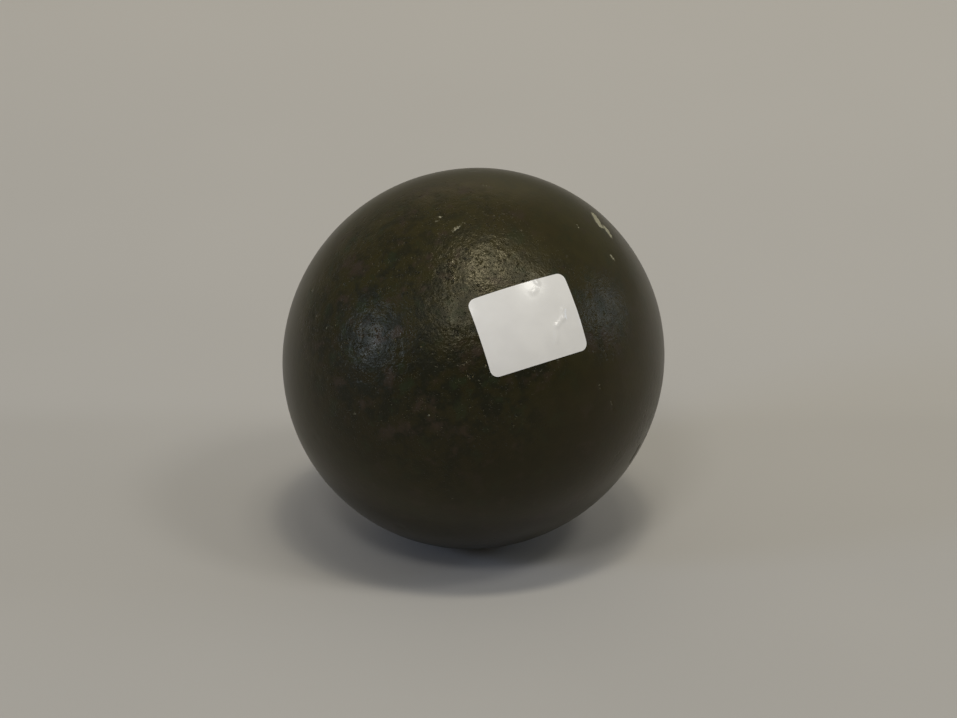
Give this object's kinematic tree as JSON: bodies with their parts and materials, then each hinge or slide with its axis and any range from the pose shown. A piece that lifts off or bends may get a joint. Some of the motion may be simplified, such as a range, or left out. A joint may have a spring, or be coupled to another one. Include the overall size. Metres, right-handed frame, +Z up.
{
  "type": "croquet ball",
  "caption": "Composition croquet ball: a cork-and-rubber core in a thick two-cup plastic shell, worn dark brown, with a small blank lot label.",
  "frame": {"origin": "the ball's centre", "axes": "+Z up as the ball lies in use; +Y along the shell's moulding axis, so the cups part on the upright XZ plane; the front cup and its label are on the -Y side"},
  "size_m": [0.092, 0.0922, 0.092],
  "materials": {
    "core": "pressed cork granules bound with rubber, matt",
    "shell": "hard composition plastic, dark olive brown, worn semi-gloss with pits and scratches",
    "label": "white, film-faced, semi-gloss, blank"
  },
  "bodies": {
    "root": {"core": "core", "front_shell": "shell", "rear_shell": "shell", "lot_label": "label"}
  },
  "joints": []
}
